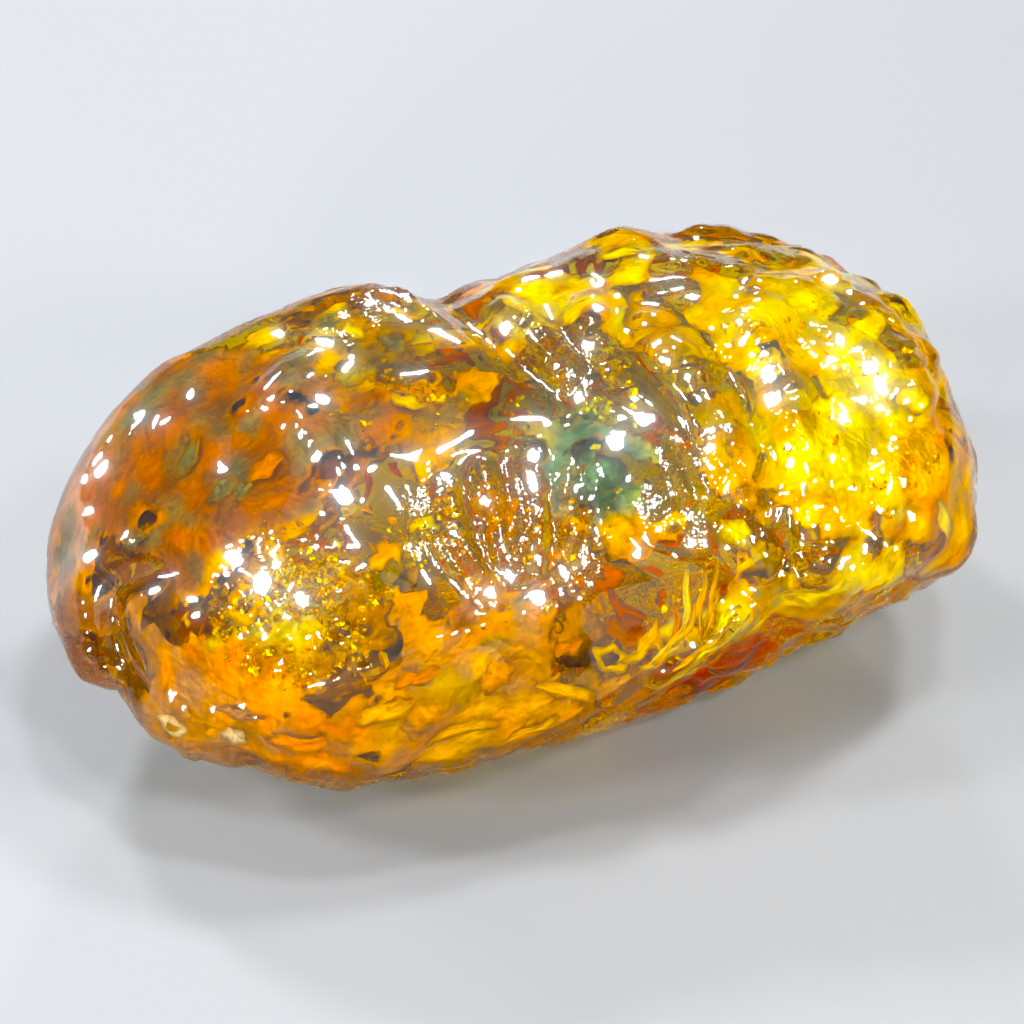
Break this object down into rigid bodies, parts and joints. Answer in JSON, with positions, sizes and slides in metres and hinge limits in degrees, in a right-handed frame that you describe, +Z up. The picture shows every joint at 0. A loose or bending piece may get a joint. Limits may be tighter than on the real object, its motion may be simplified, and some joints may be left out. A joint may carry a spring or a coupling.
{
  "type": "rough amber nugget",
  "caption": "Rough nugget of clear golden fossil resin with flow ridges, a torn pocket and a cobbled narrower lobe, lying on a small flat spot.",
  "frame": {"origin": "on the plane of the flat resting spot, under the middle of the nugget's bounding box", "axes": "+X along the nugget to its narrower cobbled end, -Y to the front with the torn pocket, +Z up"},
  "size_m": [0.0424, 0.026, 0.0184],
  "materials": {
    "amber": "clear golden to orange resin with a wet gloss, seen through to flakes and flow layers inside, with a duller weathered skin in the hollows and underneath"
  },
  "bodies": {
    "root": {"amber_nugget": "amber"}
  },
  "joints": []
}
